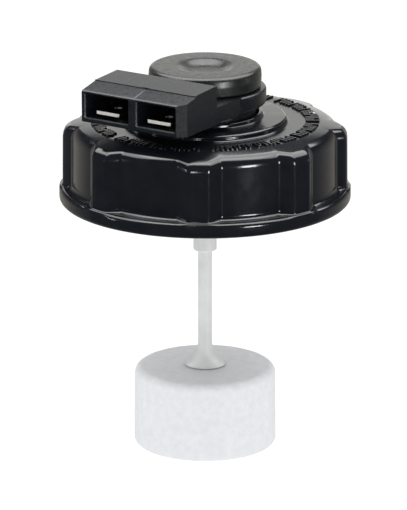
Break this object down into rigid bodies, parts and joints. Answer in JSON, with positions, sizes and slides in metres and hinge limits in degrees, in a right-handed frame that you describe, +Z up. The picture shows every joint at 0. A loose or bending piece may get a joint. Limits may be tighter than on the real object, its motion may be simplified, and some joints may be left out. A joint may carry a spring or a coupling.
{
  "type": "reservoir screw cap with float level switch",
  "caption": "Screw cap for a vehicle fluid reservoir with a float that closes a level switch, push-on blades in a shroud and a rubber test cap.",
  "frame": {"origin": "on the cap's axis in the plane of its lower rim, where the reservoir's neck enters the thread", "axes": "+Z up along the cap's axis, away from the float; -Y towards the mouth of the connector; +X across the two blades"},
  "size_m": [0.0684, 0.0684, 0.0926],
  "materials": {
    "cap_plastic": "glossy moulded black plastic",
    "housing_plastic": "satin moulded black plastic",
    "cap_rubber": "soft black rubber with a light bloom",
    "seal_rubber": "plain black rubber",
    "insert_plastic": "matte dark brown insulating plastic",
    "white_plastic": "natural white plastic, slightly translucent",
    "float_foam": "milky white foamed plastic, finely mottled",
    "tinned_metal": "tinned brass strip",
    "contact_metal": "bright contact brass",
    "spring_steel": "plain spring steel"
  },
  "bodies": {
    "sensor": {"sensor_body": "housing_plastic", "contact_base": "insert_plastic", "terminal_left": "tinned_metal", "terminal_right": "tinned_metal", "fixed_contact_left": "contact_metal", "fixed_contact_right": "contact_metal", "guide_bushing": "white_plastic", "splash_shield": "insert_plastic", "sealing_flange": "housing_plastic", "sealing_gasket": "seal_rubber", "neck_oring": "seal_rubber", "lock_ring": "spring_steel"},
    "cap": {"screw_cap": "cap_plastic"},
    "float_unit": {"pusher_stem": "white_plastic", "stem_washer": "spring_steel", "float": "float_foam", "float_clip": "spring_steel"},
    "bridge": {"moving_contact": "contact_metal", "contact_spring": "spring_steel"},
    "test_cap": {"protective_cap": "cap_rubber"}
  },
  "joints": [
    {"name": "cap_turn", "type": "hinge", "parent": "sensor", "child": "cap", "pos_m": [0, 0, 0.01], "axis": [0, 0, 1], "continuous": true},
    {"name": "float_slide", "type": "slide", "parent": "sensor", "child": "float_unit", "axis": [0, 0, 1], "range_m": [0, 0.005]},
    {"name": "contact_overtravel", "type": "slide", "parent": "float_unit", "child": "bridge", "axis": [0, 0, 1], "range_m": [0, 0.0006], "stiffness_N_per_m": 300, "deforming": ["contact_spring"]},
    {"name": "test_press", "type": "slide", "parent": "sensor", "child": "test_cap", "axis": [0, 0, -1], "range_m": [0, 0.0015], "stiffness_N_per_m": 2000, "deforming": ["protective_cap"]}
  ]
}
